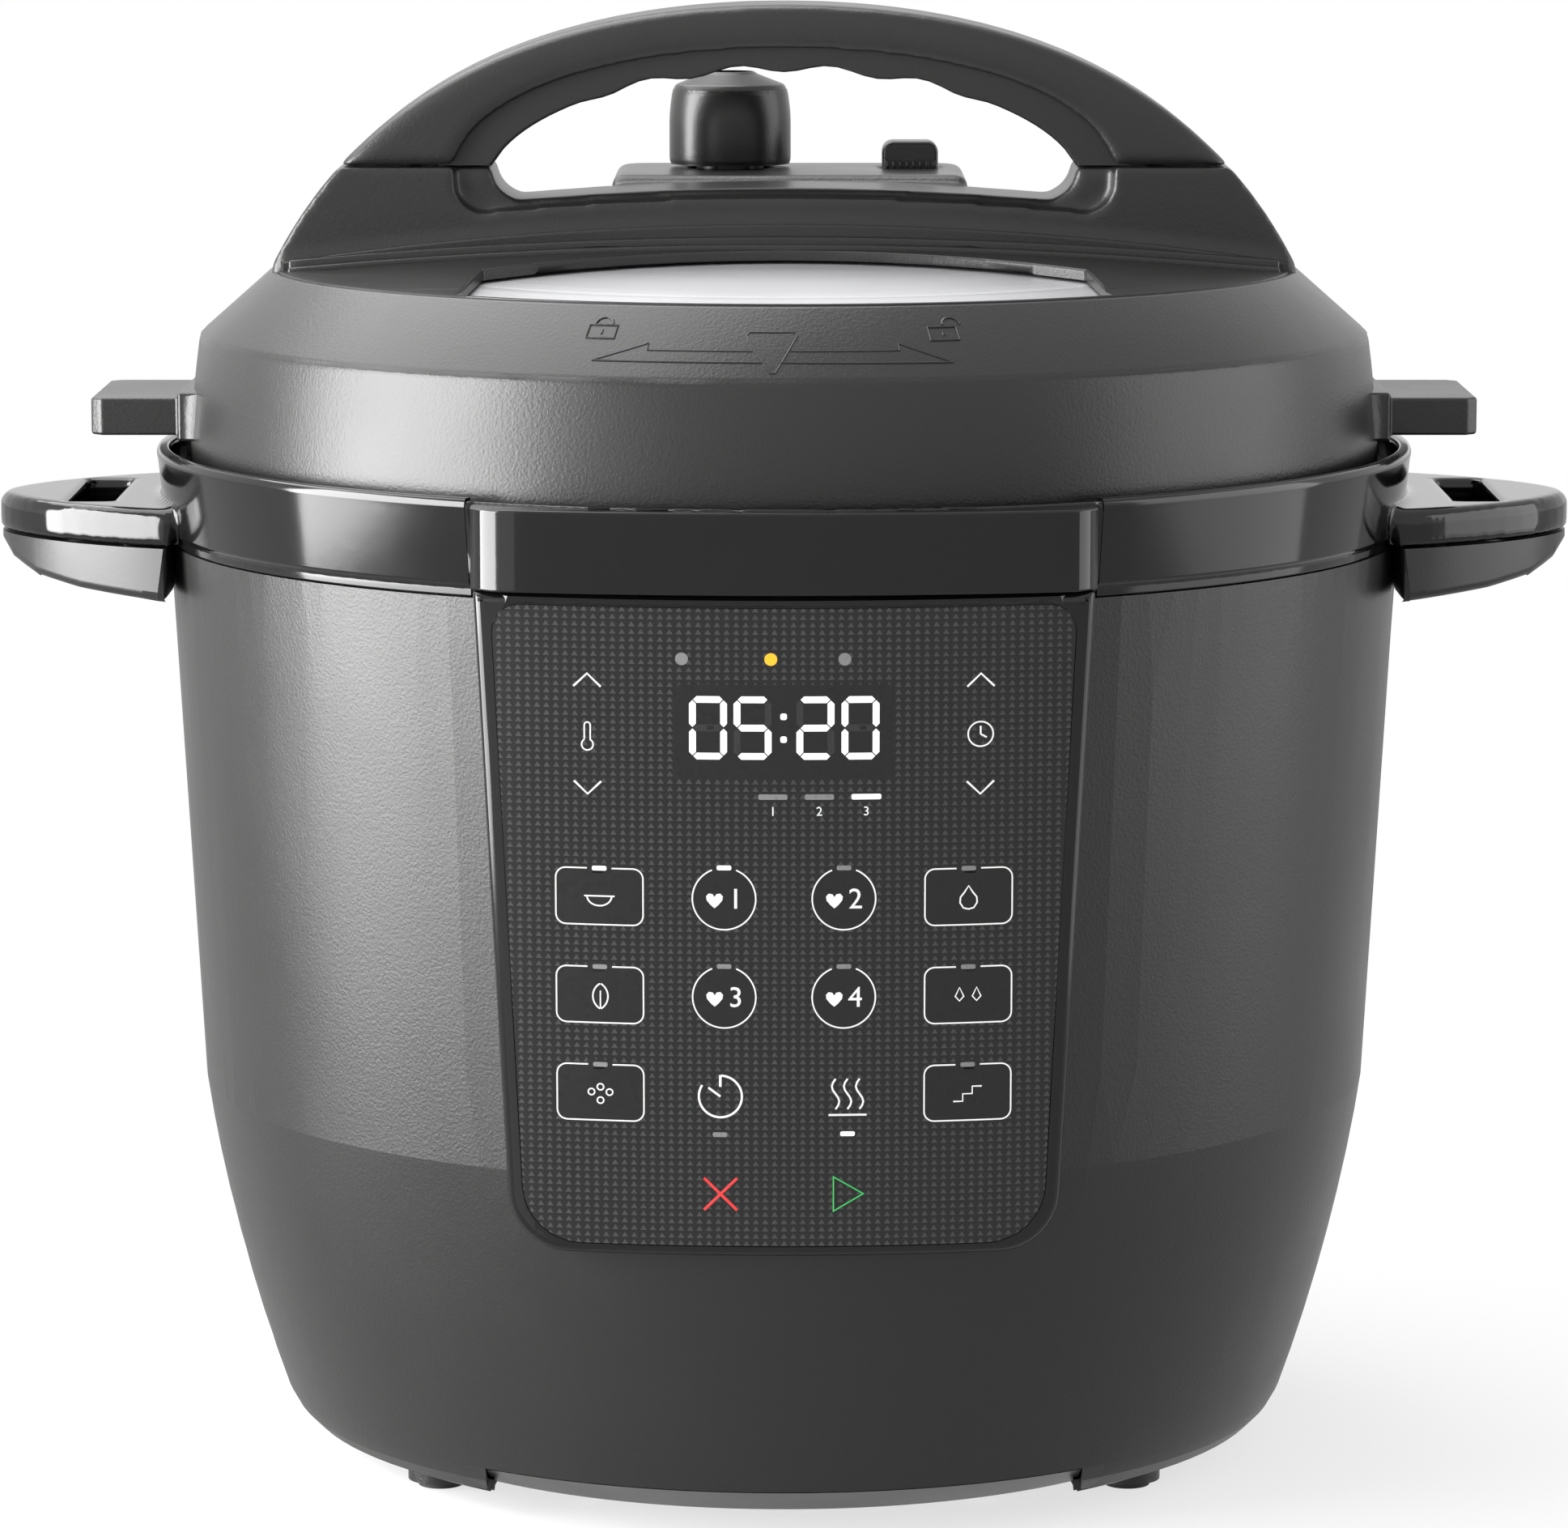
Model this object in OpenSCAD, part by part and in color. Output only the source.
// Electric pressure cooker, six quart class. Millimetres, +Z up, front towards -Y.
// Origin on the pot's axis, in the plane that the feet stand on.

/* [Inner pot] */
// Outside radius of the inner pot
pot_r = 112; // [108:0.5:116]
// Height of the inner pot from its base to the top of its rim
pot_h = 148.3; // [130:0.1:165]
// Sheet thickness of the inner pot
pot_wall = 1; // [0.8:0.1:1.4]
// Radius of the pot's bottom corner, outside
pot_corner = 18; // [12:1:22]
// Width of the pot's flat rim, outside its wall
pot_rim = 6.5; // [5:0.5:7.5]

/* [Heating chamber] */
// Air gap between the inner pot and the outer pot
pot_gap = 4; // [3:0.5:5]
// Sheet thickness of the outer pot
chamber_wall = 1; // [0.8:0.1:1.4]
// Height of the space for the electrics, above the base plate
electrics_h = 41.6; // [38:0.1:50]
// Distance of the heating plate's edge from the pot's wall
plate_inset = 27; // [24:1:42]
// Thickness of the heating plate
plate_t = 9.7; // [7:0.1:12]
// Length of the heating plate's legs
plate_leg = 2.7; // [2:0.1:5]
// Radius of the temperature sensor's head
sensor_r = 9; // [7:0.5:12]
// Travel of the sprung temperature sensor
sensor_travel = 2; // [1:0.5:3]

/* [Bayonet] */
// Number of bayonet lugs
lugs = 6; // [4:1:8]
// Reach of the chamber's lugs beyond its wall
lug_reach = 5.6; // [5:0.1:7]
// Radial overlap of the lid's lugs with the chamber's lugs
lug_overlap = 3.1; // [2:0.1:4]
// Thickness of the chamber's lug ring
flange_t = 2; // [1.5:0.1:3]
// Gap between the two sets of lugs, closed
lug_gap = 1; // [0.6:0.1:1.5]
// Angle that one lid lug spans
lug_angle = 22; // [14:1:24]

/* [Lid] */
// Sheet thickness of the steel lid
steel_t = 1.2; // [0.8:0.1:1.6]
// Wall thickness of the lid cover
cover_wall = 2.3; // [1.8:0.1:3]
// Height of the lid cover's skirt
skirt_h = 31.2; // [28:0.1:36]
// Height of the lid cover's sloping shoulder
slope_h = 13.6; // [12:0.1:18]
// Width of the lid cover's sloping shoulder
slope_w = 15.5; // [12:0.1:18]
// Crown height of the steel dome
dome_rise = 5; // [3:0.5:8]
// Height of the sealing ring
ring_h = 9.4; // [8:0.1:11]
// Depth of a lid fin, measured along the pot's rim
fin_w = 43.4; // [30:0.2:50]
// Reach of a lid fin beyond the skirt
fin_reach = 20; // [14:1:24]
// Thickness of a lid fin
fin_t = 8; // [6:0.5:9]

/* [Lid handle] */
// Length of the handle's foot, end to end
handle_l = 218.4; // [210:0.2:220]
// Rise of the handle's arch above the lid's shoulder edge
handle_rise = 56.7; // [50:0.1:65]
// Depth of the handle, front to back
handle_d = 34; // [30:0.5:38]
// Wall thickness of the handle's shells
handle_wall = 2.6; // [2:0.1:3]
// Half width of the finger opening
grip_half = 70.3; // [66:0.1:74]
// Height of one finger scallop
scallop_h = 0.8; // [0:0.1:1.5]

/* [Steam release] */
// Radius of the valve knob at its foot
knob_r = 13.4; // [12:0.2:15]
// Height of the valve knob above the platform
knob_h = 20.4; // [17:0.2:22]
// Lift of the knob when steam is let out
valve_lift = 3; // [2:0.5:3.5]
// Width of the quick release switch
switch_w = 12.4; // [10:0.2:14]
// Depth of the quick release switch
switch_d = 10; // [8:0.5:12]
// Height of the switch above the platform
switch_h = 5.9; // [5:0.1:7]
// Outside radius of the steam pipe
pipe_r = 4.5; // [4:0.1:5]
// Radius of the lever's pivot pin
pivot_r = 1.5; // [1:0.1:2]
// Radius of the float valve's stem
float_r = 2.9; // [2.4:0.1:3.5]
// Rise of the float valve under pressure
float_travel = 4.5; // [3:0.5:5]
// Radius of the lid lock pin
lock_r = 2.5; // [2:0.1:3]
// Travel of the lid lock pin
lock_travel = 4; // [2:0.5:5]

/* [Body] */
// Gap between the lid's skirt and the collar's wall
trough_gap = 4.4; // [3:0.1:6]
// Wall thickness of the collar at its rim
collar_wall = 2.9; // [2.5:0.1:4]
// Rise of the collar's rim above the bayonet
collar_rise = 8.4; // [7:0.1:11]
// Wall thickness of the outer housing
body_wall = 2.4; // [2:0.1:3]
// Inward taper from the collar to the housing's crease
body_taper = 6.4; // [5:0.1:8]
// Height of the housing's crease
crease_z = 80.2; // [70:0.1:95]
// Inward taper from the crease to the housing's foot
belly_taper = 16.8; // [14:0.1:18]
// Height of a rubber foot below the base plate
foot_h = 4; // [3:0.1:6]
// Half spacing of the feet across the body
foot_x = 73; // [66:1:76]
// Half spacing of the feet, front to back
foot_y = 57; // [50:1:60]
// Radius of a rubber foot
foot_r = 4.8; // [4:0.1:6]
// Half width of the plinth band that shows between the feet
plinth_x = 62; // [56:1:64]

/* [Side handles] */
// Reach of a side handle beyond the collar
grip_reach = 34.6; // [32:0.1:38]
// Half width of a side handle where it leaves the collar
grip_w = 41; // [36:0.5:46]
// Thickness of the glossy handle top
grip_top_t = 8; // [6:0.1:9]
// Height of the lower grip
grip_low_h = 13; // [11:0.5:16]
// Width of the lid slot
slot_w = 9.7; // [9.2:0.1:11]

/* [Front panel] */
// Half width of the bezel at its top
bezel_top = 61.6; // [58:0.1:64]
// Half width of the bezel at its foot
bezel_foot = 55; // [50:0.1:58]
// Height of the bezel below the header
bezel_h = 134; // [120:1:150]
// Height of the header strip
header_h = 16.4; // [14:0.1:17]
// Radius of the panel's bowed front
panel_bow = 277; // [220:1:340]
// Lean of the panel, degrees
panel_lean = 3.3; // [2:0.1:4.5]
// Frame width between the bezel's edge and the overlay
frame_w = 3.6; // [3:0.1:6]
// Thickness of the printed overlay
overlay_t = 0.8; // [0.5:0.1:1.2]
// Wall thickness of the bezel
bezel_wall = 2.2; // [1.8:0.1:3]
// Width of the display
display_w = 35; // [30:0.5:38]
// Height of the display
display_h = 15; // [12:0.5:18]

/* [Rear] */
// Width of the condensation cup
cup_w = 48; // [40:1:50]
// Height of the condensation cup
cup_h = 42; // [36:1:48]
// Depth of the condensation cup, front to back
cup_d = 15; // [13:0.5:16]
// Wall thickness of the condensation cup
cup_wall = 1.6; // [1.2:0.1:2]
// Width of the mains inlet's face
inlet_w = 30; // [28:0.5:34]
// Height of the mains inlet's face
inlet_h = 24; // [22:0.5:26]

/* [Hidden] */
$fn = 96;

// Clearance between pieces that touch or nearly touch
gap = 0.3;
// Radial clearance of a running fit
run = 0.05;
// Overlap used when a cut has to pass a face
cut = 1;

// Heights, from the floor upwards
base_t = 2.4;
base_z = foot_h;
chamber_z = base_z + base_t + electrics_h;
plate_z = chamber_z + chamber_wall + gap;
plate_r = pot_r - plate_inset;
plate_top = plate_z + plate_leg + plate_t;
pot_z = plate_top + gap;
rim_z = pot_z + pot_h;
chamber_top = rim_z - pot_wall - gap;
lug_t = 1.5;
lid_lug_z = chamber_top - flange_t - lug_gap - lug_t;
trough_z = lid_lug_z - 2.1;
trough_t = 2.2;
collar_lip = 2.5;
collar_z = trough_z - trough_t - collar_lip;
collar_top = chamber_top + collar_rise;
body_top = collar_z - gap;

// Radii, from the pot outwards
chamber_in = pot_r + pot_gap;
chamber_r = chamber_in + chamber_wall;
flange_r = chamber_r + lug_reach;
lid_in = flange_r + 0.8;
lid_r = lid_in + steel_t;
lid_lug_r = flange_r - lug_overlap;
cover_in = lid_r + 1.1;
skirt_r = cover_in + cover_wall;
trough_r = skirt_r + trough_gap;
collar_r = trough_r + collar_wall;
body_top_r = collar_r - 2.6;
crease_r = body_top_r - body_taper;
hem_r = crease_r - belly_taper;
hem_z = base_z + 8;

// Lid heights
ring_z = rim_z + gap;
ring_in = pot_r - 3;
ring_out = pot_r + pot_rim + 1.3;
shoulder_z = ring_z + ring_h + gap + steel_t;
skirt_z = trough_z + 7.6;
skirt_taper = 2.4;
slope_z = skirt_z + skirt_h;
slope_top = slope_z + slope_h;
slope_r = skirt_r - skirt_taper - slope_w;
dome_r = slope_r - 4.4;
dome_z = slope_top - 2.6;
dome_top = dome_z + dome_rise;
dome_ball = (dome_r * dome_r + dome_rise * dome_rise) / (2 * dome_rise);
deck_gap = 0.6;
deck_t = 2.4;

// Lid handle and platform
handle_half = handle_l / 2;
handle_top = slope_top + handle_rise;
seam_z = slope_top + 22.3;
bridge_z = slope_top + 17.8;
handle_y = handle_d / 2;
// Half depth of the bridge's ridge
bridge_y = handle_y - 2.6;
hole_top = handle_top - 9.6;
finger_top = handle_top - 13.6;
platform_z = slope_top + 18.7;
platform_x = [-37.5, 40];
platform_y = [handle_y - cut, 67];
platform_wall = 2.2;
knob_x = -12;
release_y = 48;
pivot_x = 8;
switch_x = 28;
arm = switch_x - pivot_x;
lever_t = 2;
lever_z = platform_z - 8.7;
lever_gap = 0.5;
float_x = 54;
float_y = 54;
lock_x = -90;

// Front panel
panel_z = collar_z + 1.3;
panel_y = -(collar_r - 0.3);
bezel_z = panel_z - bezel_h;
overlay_sink = 0.1;
board_y = 9;
board_t = 1.6;
screw_r = 1.5;

// Rear
cup_y = collar_r + 1.2;
cup_z = body_top - 4 - cup_h;
inlet_z = base_z + 18;

// Unit vector along v
function unit(v) = v / norm(v);
// Right-hand normal of the step from a to b
function side(a, b) = let (d = unit(b - a)) [d[1], -d[0]];
// Point i of the open path p, moved t to the path's right
function shifted(p, i, t) =
    let (
        last = len(p) - 1,
        before = i > 0 ? side(p[i - 1], p[i]) : side(p[0], p[1]),
        after = i < last ? side(p[i], p[i + 1]) : before,
        n = unit(before + after)
    )
    p[i] + n * t / (n * before);
// The open path p moved t to its right
function shift_path(p, t) = [for (i = [0:len(p) - 1]) shifted(p, i, t)];
// Outline p with no point past the axis, ready to be spun
function spun(p) = [for (q = p) [max(0, q[0]), q[1]]];
// Arc that rounds corner b between a and c
function corner(a, b, c, r, n) =
    r <= 0 ? [b] :
    let (
        u = unit(a - b),
        v = unit(c - b),
        half = acos(u * v) / 2,
        centre = b + unit(u + v) * r / sin(half),
        from = b + u * r / tan(half) - centre,
        to = b + v * r / tan(half) - centre,
        a0 = atan2(from[1], from[0]),
        turn = atan2(to[1], to[0]) - a0,
        sweep = turn > 180 ? turn - 360 : turn < -180 ? turn + 360 : turn
    )
    [for (i = [0:n]) centre + r * [cos(a0 + sweep * i / n), sin(a0 + sweep * i / n)]];
// Closed outline p with its corners rounded; r is one radius or a list
function rounded(p, r, n = 5) =
    let (k = len(p))
    [for (i = [0:k - 1]) each corner(p[(i + k - 1) % k], p[i], p[(i + 1) % k], is_list(r) ? r[i] : r, n)];
// Point t along the cubic curve with control points p
function bezier(p, t) =
    p[0] * pow(1 - t, 3) + p[1] * 3 * t * pow(1 - t, 2) + p[2] * 3 * t * t * (1 - t) + p[3] * pow(t, 3);
// The cubic curve p in n steps
function curve(p, n) = [for (i = [0:n]) bezier(p, i / n)];
// Points of path p in reverse
function reversed(p) = [for (i = [len(p) - 1:-1:0]) p[i]];
// Points of path p mirrored left to right
function flipped(p) = [for (q = p) [-q[0], q[1]]];
// A rectangle's corners
function rect(x0, y0, x1, y1) = [[x0, y0], [x1, y0], [x1, y1], [x0, y1]];
// Height of the steel dome's outside at radius r
function dome_at(r) = dome_top - dome_ball + sqrt(dome_ball * dome_ball - r * r);
// Depth of the bowed panel behind its front line at x
function bow_at(x) = panel_bow - sqrt(panel_bow * panel_bow - x * x);
// Outside radius of the housing above its crease
function wall_at(z) = crease_r + body_taper * (z - crease_z) / (body_top - crease_z);

// Repeats its children at each place
module at_each(places) {
    for (p = places) translate(p) children();
}
// Tube with its foot at z
module tube(r_out, r_in, h) {
    difference() {
        cylinder(r = r_out, h = h);
        translate([0, 0, -cut]) cylinder(r = r_in, h = h + 2 * cut);
    }
}
// Extrudes a front outline, drawn in X and Z, from y0 to y1
module prism_y(points, y0, y1) {
    translate([0, y1, 0]) rotate([90, 0, 0]) linear_extrude(y1 - y0) polygon(points);
}
// Ring sector between two radii
module sector(r_in, r_out, h, from, to) {
    steps = 6;
    reach = r_out / cos((to - from) / steps / 2);
    intersection() {
        tube(r_out, r_in, h);
        linear_extrude(h) polygon(concat([[0, 0]],
            [for (i = [0:steps]) let (a = from + (to - from) * i / steps) 1.1 * reach * [cos(a), sin(a)]]));
    }
}
// Pan-head screw pointing up, its head's seat at z = 0
module screw(r, length, head_r, head_h) {
    cylinder(r = r, h = length, $fn = 32);
    difference() {
        translate([0, 0, -head_h]) cylinder(r = head_r, h = head_h, $fn = 32);
        for (a = [0, 90]) rotate(a) translate([-head_r * 0.6, -0.4, -head_h - cut])
            cube([head_r * 1.2, 0.8, cut + 0.8]);
    }
}
// Coil spring standing on z = 0
module coil(r, wire, h, turns) {
    around = 6;
    rings = turns * 12;
    pitch = (h - wire) / turns;
    points = [for (i = [0:rings], j = [0:around - 1])
        let (a = i * 360 / 12, b = j * 360 / around, q = r + wire / 2 * cos(b))
        [q * cos(a), q * sin(a), wire / 2 + pitch * i / 12 + wire / 2 * sin(b)]];
    faces = concat([[for (j = [0:around - 1]) j]],
        [for (i = [0:rings - 1], j = [0:around - 1])
            let (k = i * around, m = (j + 1) % around) [k + j, k + around + j, k + around + m, k + m]],
        [[for (j = [around - 1:-1:0]) rings * around + j]]);
    polyhedron(points, faces);
}
// Puts its children in the panel's leaning frame: y = 0 is the front line, z = 0 the bezel's top edge
module on_panel() {
    translate([0, panel_y, panel_z]) rotate([panel_lean, 0, 0]) children();
}

// Housing's outside, from the hem to the top
belly = curve([[hem_r, hem_z], [hem_r + 7.5, hem_z + 21], [crease_r - 2.7, crease_z - 20.2],
    [crease_r, crease_z]], 8);
hem = [[hem_r - 9, base_z + 0.2], [hem_r - 4.6, base_z + 2], [hem_r - 1.8, base_z + 4.8]];
housing_line = concat(hem, belly, [[body_top_r, body_top]]);
housing_inside = shift_path(housing_line, -body_wall);
// Outline of the bezel's front, grown by g, in the panel's frame
function bezel_outline(g) = rounded([[-bezel_top - g, g], [bezel_top + g, g],
    [bezel_foot + g, -bezel_h - g], [-bezel_foot - g, -bezel_h - g]], [1 + g, 1 + g, 11.5 + g, 11.5 + g]);
// How much narrower the frame is below the overlay than beside it
foot_rise = 1.2;
// Outline of the overlay, grown by g
function overlay_outline(g) = rounded([[-bezel_top + frame_w - g, -1.6 + g],
    [bezel_top - frame_w + g, -1.6 + g],
    [bezel_foot - frame_w + 0.6 + g, -bezel_h + frame_w - foot_rise - g],
    [-bezel_foot + frame_w - 0.6 - g, -bezel_h + frame_w - foot_rise - g]], [6 + g, 6 + g, 11 + g, 11 + g]);
// Bowed slab of the panel: from depth d0 to depth d1 behind the front surface
module bowed(d0, d1) {
    half = bezel_top + 4;
    translate([0, panel_bow, -bezel_h - 4]) intersection() {
        tube(panel_bow - d0, panel_bow - d1, bezel_h + 8, $fn = 180);
        translate([-half, -panel_bow - cut, 0]) cube([2 * half, panel_bow, bezel_h + 8]);
    }
}
// Key positions on the panel: across and down from the bezel's top edge
key_x = [-36.7, -12, 12, 36.7];
key_rows = [59.8, 79.9, 100.1];
touch_keys = [[-38.9, -16.3], [-38.9, -38], [38.9, -16.3], [38.9, -38], [-12.7, -120.8], [12.7, -120.8]];
keys = concat([for (x = key_x, z = key_rows) [x, -z]], touch_keys);
display_z = -25.7;
bezel_back = overlay_t + gap + bezel_wall;
bezel_d = 32;

module outer_housing() {
    color("#2b2a29") difference() {
        rotate_extrude() polygon(concat(housing_line, reversed(housing_inside)));
        on_panel() prism_y(bezel_outline(gap), -20, 60);
        for (s = [0, 180]) rotate(s) {
            translate([-plinth_x, -hem_r - 10, 0]) cube([2 * plinth_x, 40, hem_z]);
            translate([-plinth_x - 5, -hem_r - 10, 0]) cube([2 * plinth_x + 10, 40, base_z + 2]);
        }
        cup_pocket(0, 30);
        inlet_pocket(0, 30);
        for (s = [-1, 1]) translate([0, 0, body_top - 8])
            for (y = [-14, 14]) translate([s * crease_r, y, 0]) rotate([0, s * 90, 0])
                cylinder(r = 1.8, h = 30, center = true);
    }
    color("#2b2a29") {
        difference() {
            intersection() {
                cup_pocket(body_wall, 0);
                housing_core();
            }
            cup_pocket(0, 30);
        }
        difference() {
            intersection() {
                inlet_pocket(body_wall, 0);
                housing_core();
            }
            inlet_pocket(0, 30);
            translate([-inlet_w / 2 + 3, inlet_y - inlet_depth - 20, inlet_z + 2.6])
                cube([inlet_w - 6, inlet_depth + 40, inlet_h - 5.2]);
        }
    }
}
// Everything inside the housing's outer surface
module housing_core() {
    rotate_extrude() polygon(concat(housing_line, [[0, body_top], [0, base_z + 0.2]]));
}
// Pocket for the condensation cup, with walls w, running out past the body by e
module cup_pocket(w, e) {
    x = cup_w / 2 + gap + w;
    y0 = cup_y - cup_d - gap - w;
    translate([-x, y0, cup_z - gap - w]) cube([2 * x, cup_d + w + e, cup_h + 2 * gap + 2 * w]);
}
// Pocket for the mains inlet, with walls w, running out past the body by e
module inlet_pocket(w, e) {
    x = inlet_w / 2 + gap + w;
    y0 = inlet_y - gap - w;
    translate([-x, y0, inlet_z - gap - w]) cube([2 * x, 14 + w + e, inlet_h + 2 * gap + 2 * w]);
}
inlet_t = 2.5;
inlet_depth = 20;
inlet_y = hem_r + 1.5;

// Plan of a side handle, on the +X side
function grip_plan(inset) =
    let (
        x0 = collar_r - 6,
        tip = collar_r + grip_reach - inset,
        w = grip_w - inset,
        p = curve([[collar_r - 4.3, w], [collar_r + 14.7, w * 0.83], [tip, w * 0.37], [tip, 0]], 12)
    )
    concat([[x0, w]], p, [for (i = [len(p) - 2:-1:0]) [p[i][0], -p[i][1]]], [[x0, -w]]);
grip_split = collar_z + 0.8;
grip_top = grip_split + grip_top_t;
slot_x = collar_r + 13.1;
slot_l = fin_w + 1.6;

module collar_ring() {
    wall = [[body_top_r, collar_z], [body_top_r, collar_z + 1.9], [body_top_r + 0.8, collar_z + 2.7],
        [collar_r - 0.3, collar_top - 2.6], [collar_r, collar_top - 1.2],
        [collar_r - 0.5, collar_top - 0.2], [collar_r - 1.2, collar_top], [trough_r + 0.5, collar_top], [trough_r, collar_top - 0.6],
        [trough_r, trough_z], [chamber_r + 2.2, trough_z], [chamber_r + 2.2, trough_z + 1],
        [chamber_r + 0.4, trough_z + 1], [chamber_r + 0.4, trough_z - trough_t],
        [body_top_r - 3, trough_z - trough_t], [body_top_r - 3, collar_z]];
    color("#101010") difference() {
        union() {
            rotate_extrude($fn = 144) polygon(wall);
            for (m = [0, 1]) mirror([m, 0, 0]) difference() {
                union() {
                    translate([0, 0, grip_split]) linear_extrude(grip_top_t - 1.4) polygon(grip_plan(0));
                    translate([0, 0, grip_split]) linear_extrude(grip_top_t) polygon(grip_plan(1.2));
                }
                translate([0, 0, grip_split - cut]) cylinder(r = trough_r + 1, h = 30, $fn = 144);
                translate([slot_x - slot_w / 2, -slot_l / 2, grip_split - cut]) cube([slot_w, slot_l, 30]);
                for (y = [-28, 28]) translate([collar_r + 4, y, grip_split - cut])
                    cylinder(r = 1.6, h = 6, $fn = 32);
            }
        }
        header_space(gap);
        translate([0, trough_r - 2.2, 0]) cylinder(r = 2.5, h = 300, $fn = 32);
    }
}
// Space that the header strip takes from the collar, with clearance g
module header_space(g) {
    x = bezel_top + 0.4 + g;
    skin = trough_r + 1.5;
    difference() {
        translate([-x, -collar_r - 10, collar_z - cut]) cube([2 * x, collar_r, 60]);
        translate([0, 0, collar_z - 2 * cut]) cylinder(r = skin, h = 70, $fn = 144);
    }
}

module lower_grip(s) {
    low = grip_split - grip_low_h;
    x0 = collar_r - 5;
    tip = collar_r + grip_reach;
    keel = [[x0, low + 1.2], [collar_r + 14.7, low + 3], [collar_r + 25, low + 4.8], [collar_r + 31, low + 7.6],
        [tip - 0.6, low + 11.6], [tip, grip_split - gap], [x0, grip_split - gap]];
    color("#222120") mirror([s < 0 ? 1 : 0, 0, 0]) difference() {
        intersection() {
            prism_y(keel, -grip_w - cut, grip_w + cut);
            translate([0, 0, low - cut]) linear_extrude(grip_low_h + 2 * cut) polygon(grip_plan(0.4));
        }
        translate([0, 0, low - 2 * cut]) cylinder(r1 = wall_at(low - 2 * cut) + gap,
            r2 = wall_at(grip_split + cut) + gap, h = grip_low_h + 3 * cut);
        translate([slot_x - slot_w / 2 - 1, -slot_l / 2 - 1, low + 7]) cube([slot_w + 2, slot_l + 2, 30]);
        for (y = [-28, 28]) translate([collar_r + 4, y, low - cut]) {
            cylinder(r = 1.6, h = 30, $fn = 32);
            cylinder(r = 3.4, h = 5 + cut, $fn = 32);
        }
        for (y = [-14, 14]) translate([collar_r - 8, y, body_top - 8]) rotate([0, 90, 0])
            cylinder(r = 1.2, h = 15, $fn = 32);
    }
}
module left_grip() { lower_grip(-1); }
module right_grip() { lower_grip(1); }
side_head_r = 2.6;
side_screw_x = sqrt(pow(wall_at(body_top - 8 - side_head_r) - body_wall, 2) - pow(14 + side_head_r, 2))
    - gap;
module grip_screws() {
    low = grip_split - grip_low_h;
    color("#8d8f92") for (s = [-1, 1]) {
        for (y = [-28, 28]) translate([s * (collar_r + 4), y, low + 5 - gap])
            screw(screw_r, grip_low_h - 1, 2.9, 2.2);
        for (y = [-14, 14]) translate([s * side_screw_x, y, body_top - 8]) rotate([0, s * 90, 0])
            screw(1.1, 8, side_head_r, 1.6);
    }
}

module header_strip() {
    z0 = panel_z + 0.2 + 16 * sin(panel_lean);
    back = trough_r + 1.5 + gap;
    x = bezel_top + 0.4;
    front = -cup_y;
    color("#0d0d0d") difference() {
        intersection() {
            translate([0, front + panel_bow, z0]) cylinder(r = panel_bow, h = header_h, $fn = 180);
            translate([-x, front - cut, z0]) cube([2 * x, 40, header_h]);
        }
        translate([0, 0, z0 - cut]) cylinder(r = back, h = header_h + 2 * cut, $fn = 144);
        for (m = [0, 1]) mirror([m, 0, 0]) translate([x - 3.2, front + bow_at(x), z0 - cut]) rotate(-45)
            translate([0, -40, 0]) cube([40, 80, header_h + 2 * cut]);
        difference() {
            translate([0, front + panel_bow, z0 + 2])
                cylinder(r = panel_bow - 2.2, h = header_h - 4, $fn = 180);
            for (s = [-1, 1]) translate([s * (x + 3) - 6, front, z0]) cube([12, 40, header_h]);
            translate([-2, front, z0]) cube([4, 40, header_h]);
        }
    }
}

module panel_bezel() {
    inset = -bezel_wall;
    color("#141414") on_panel() difference() {
        intersection() {
            prism_y(bezel_outline(0), -5, bezel_d);
            bowed(0, bezel_d + 2);
        }
        intersection() {
            prism_y(bezel_outline(inset), 0, 60);
            bowed(bezel_back, 60);
        }
        intersection() {
            prism_y(overlay_outline(gap), -5, 40);
            bowed(-4, overlay_t + gap);
        }
        translate([-display_w / 2 - 1, -5, display_z - display_h / 2 - 1])
            cube([display_w + 2, 30, display_h + 2]);
        for (k = keys) translate([k[0], -5, k[1]]) rotate([-90, 0, 0]) cylinder(r = 4.8, h = 30, $fn = 32);
        rotate([-panel_lean, 0, 0]) translate([0, -panel_y, -panel_z]) {
            rotate_extrude() polygon(concat([[0, 0]], shift_path(housing_line, -4), [[0, body_top]]));
            translate([0, 0, collar_z - gap]) cylinder(r = trough_r + 1.5 + gap, h = 20, $fn = 144);
        }
    }
    color("#141414") on_panel() for (p = board_posts) difference() {
        translate([p[0], bow_at(p[0]) + overlay_t + bezel_wall - 0.4, p[1]]) rotate([-90, 0, 0])
            cylinder(r = 3, h = board_y - gap - bow_at(p[0]) - overlay_t - bezel_wall + 0.4, $fn = 32);
        translate([p[0], board_y - 4, p[1]]) rotate([-90, 0, 0]) cylinder(r = 1.6, h = 6, $fn = 32);
    }
}
board_posts = [for (x = [-25, 25], z = [-6, -106]) [x, z]];
board_half = 42;
board_low = -124.5;

module panel_overlay() {
    color("#1a1a1a") on_panel() intersection() {
        prism_y(overlay_outline(0), -5, 20);
        bowed(overlay_sink, overlay_t);
    }
}
module display_module() {
    front = bow_at(display_w / 2) + overlay_t + gap;
    color("#0a1a20") on_panel() translate([-display_w / 2, front, display_z - display_h / 2])
        cube([display_w, board_y - gap - front, display_h]);
}
module control_board() {
    color("#1f5b3a") on_panel() difference() {
        translate([-board_half, board_y, board_low]) cube([2 * board_half, board_t, -board_low - 3.4]);
        for (p = board_posts) translate([p[0], 0, p[1]]) rotate([-90, 0, 0])
            cylinder(r = 1.8, h = 30, $fn = 32);
        translate([-6, board_y - cut, board_low - cut]) cube([12, board_t + 2 * cut, 4 + cut]);
    }
}
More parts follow.
